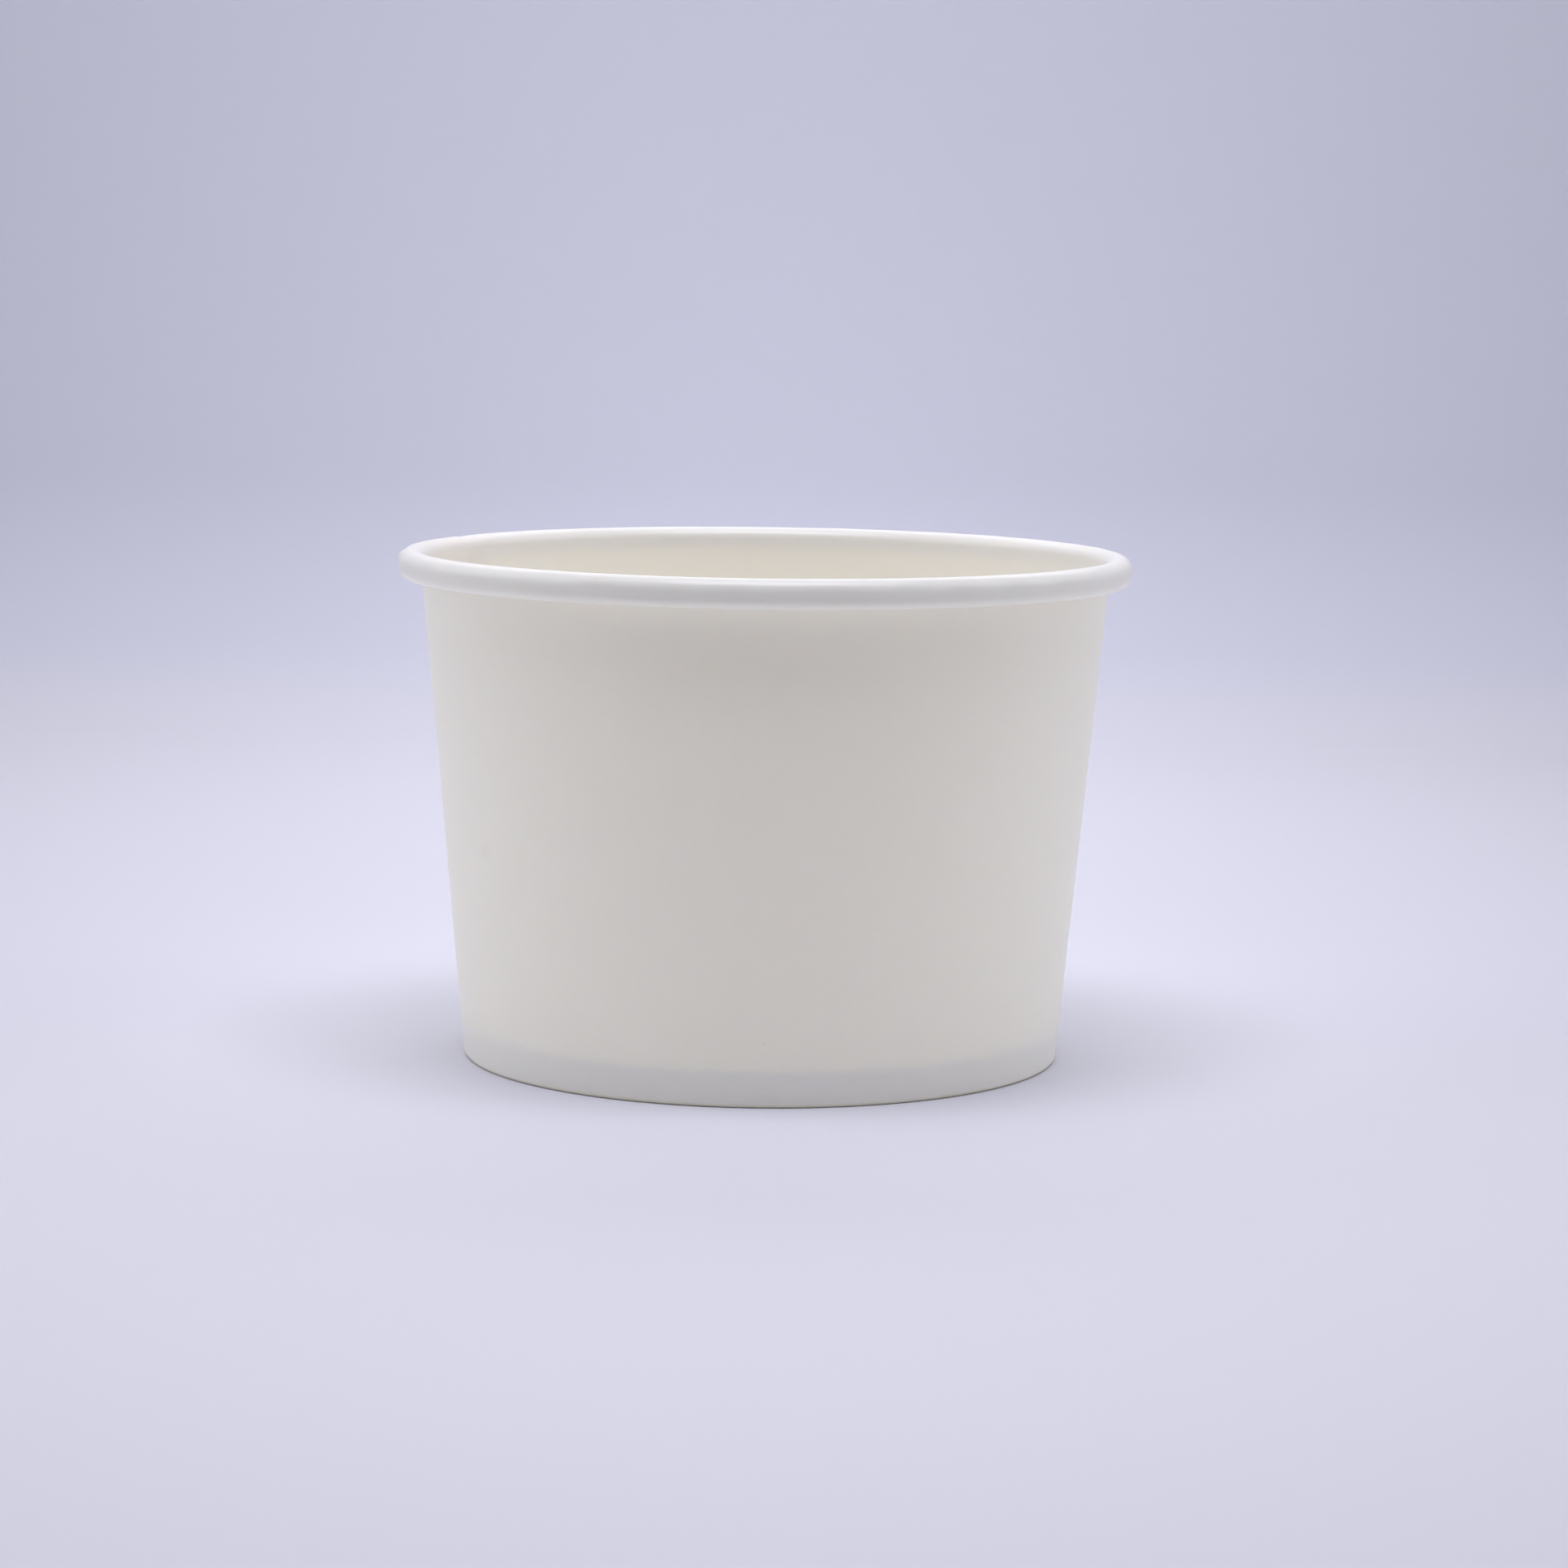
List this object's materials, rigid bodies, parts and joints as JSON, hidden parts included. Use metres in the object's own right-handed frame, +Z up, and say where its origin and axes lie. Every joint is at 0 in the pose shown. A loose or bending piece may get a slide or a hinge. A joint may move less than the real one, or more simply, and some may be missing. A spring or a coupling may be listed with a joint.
{
  "type": "paper deli container",
  "caption": "Round white paper tub for food, with a tapered lap-seamed wall, a rolled rim, a folded foot and a recessed sealed floor, open at the top.",
  "frame": {"origin": "on the tub's axis, in the plane of its standing edge", "axes": "+Z up along the tub's axis; -Y is the side that the picture sees; the lap seam lies round to the left rear, towards -X and +Y"},
  "size_m": [0.09, 0.09, 0.0624],
  "materials": {
    "wall_board": "white coated board, soft satin",
    "floor_board": "white coated board, soft satin"
  },
  "bodies": {
    "root": {"side_wall": "wall_board", "bottom_disc": "floor_board"}
  },
  "joints": []
}
